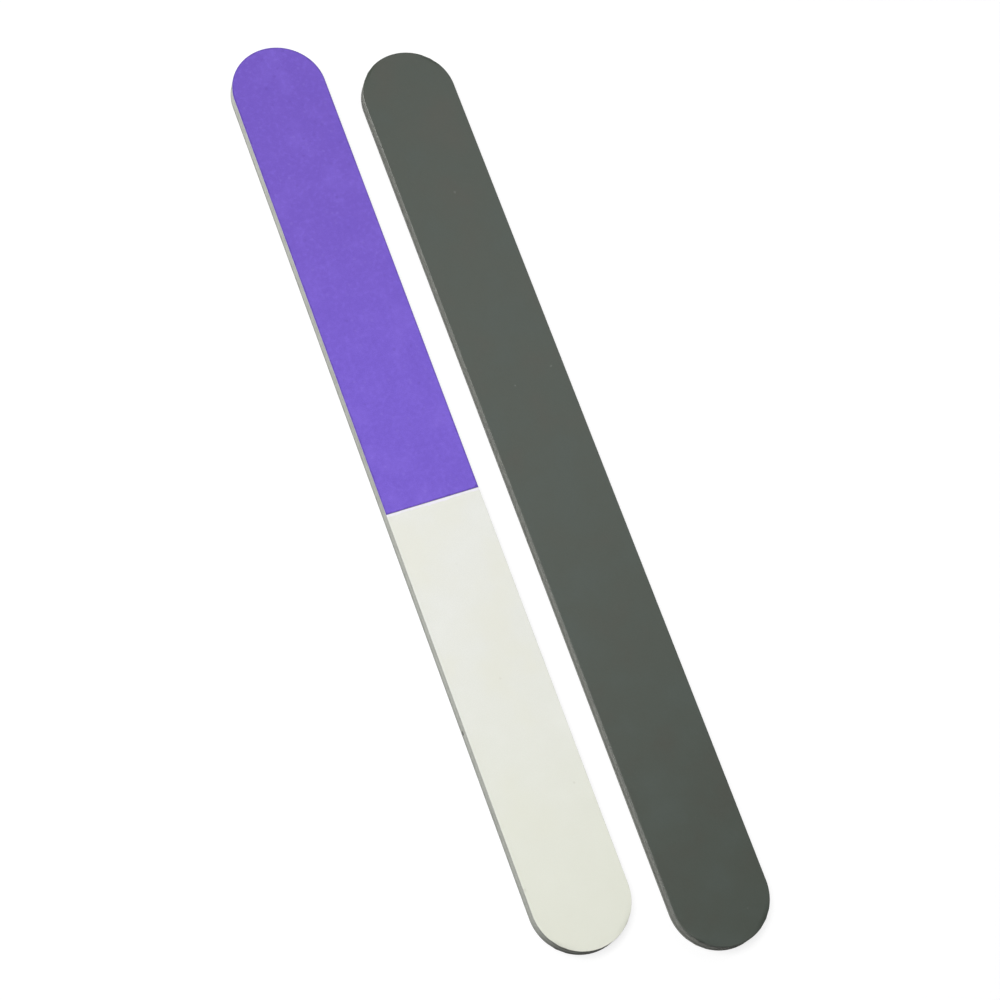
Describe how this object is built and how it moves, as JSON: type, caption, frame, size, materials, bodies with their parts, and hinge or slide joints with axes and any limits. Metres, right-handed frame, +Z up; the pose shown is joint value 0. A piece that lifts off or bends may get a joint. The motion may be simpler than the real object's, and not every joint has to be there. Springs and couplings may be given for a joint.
{
  "type": "three-way nail file pair",
  "caption": "Long flat laminated nail files with round ends, lying side by side: a purple filing and white buffing face up on one, the grey shining face up on the other.",
  "frame": {"origin": "middle of the pair's outline, on the surface that both files lie on", "axes": "+Y along the files towards the purple end, +X from the left file to the right file, +Z up"},
  "size_m": [0.0418, 0.187, 0.0031],
  "materials": {
    "purple_grit": "matte abrasive coat with fine even grit, purple",
    "white_grit": "matte buffing coat with very fine grit, warm white",
    "grey_shine": "smooth satin shining film, greenish mid grey",
    "foam": "matte closed-cell foam with a die-cut edge, light grey",
    "core": "smooth plastic sheet with a die-cut edge, off white",
    "tape": "thin double-sided adhesive film, pale straw"
  },
  "bodies": {
    "left_file": {"left_file_grey_shine_sheet": "grey_shine", "left_file_grey_sheet_tape": "tape", "left_file_grey_side_foam": "foam", "left_file_grey_side_core_tape": "tape", "left_file_core_board": "core", "left_file_colour_side_core_tape": "tape", "left_file_colour_side_foam": "foam", "left_file_purple_sheet_tape": "tape", "left_file_white_sheet_tape": "tape", "left_file_purple_file_sheet": "purple_grit", "left_file_white_buff_sheet": "white_grit"},
    "right_file": {"right_file_grey_shine_sheet": "grey_shine", "right_file_grey_sheet_tape": "tape", "right_file_grey_side_foam": "foam", "right_file_grey_side_core_tape": "tape", "right_file_core_board": "core", "right_file_colour_side_core_tape": "tape", "right_file_colour_side_foam": "foam", "right_file_purple_sheet_tape": "tape", "right_file_white_sheet_tape": "tape", "right_file_purple_file_sheet": "purple_grit", "right_file_white_buff_sheet": "white_grit"}
  },
  "joints": [
    {"name": "right_file_lift", "type": "slide", "parent": "left_file", "child": "right_file", "axis": [0, 0, 1], "range_m": [0, 0.06]}
  ]
}
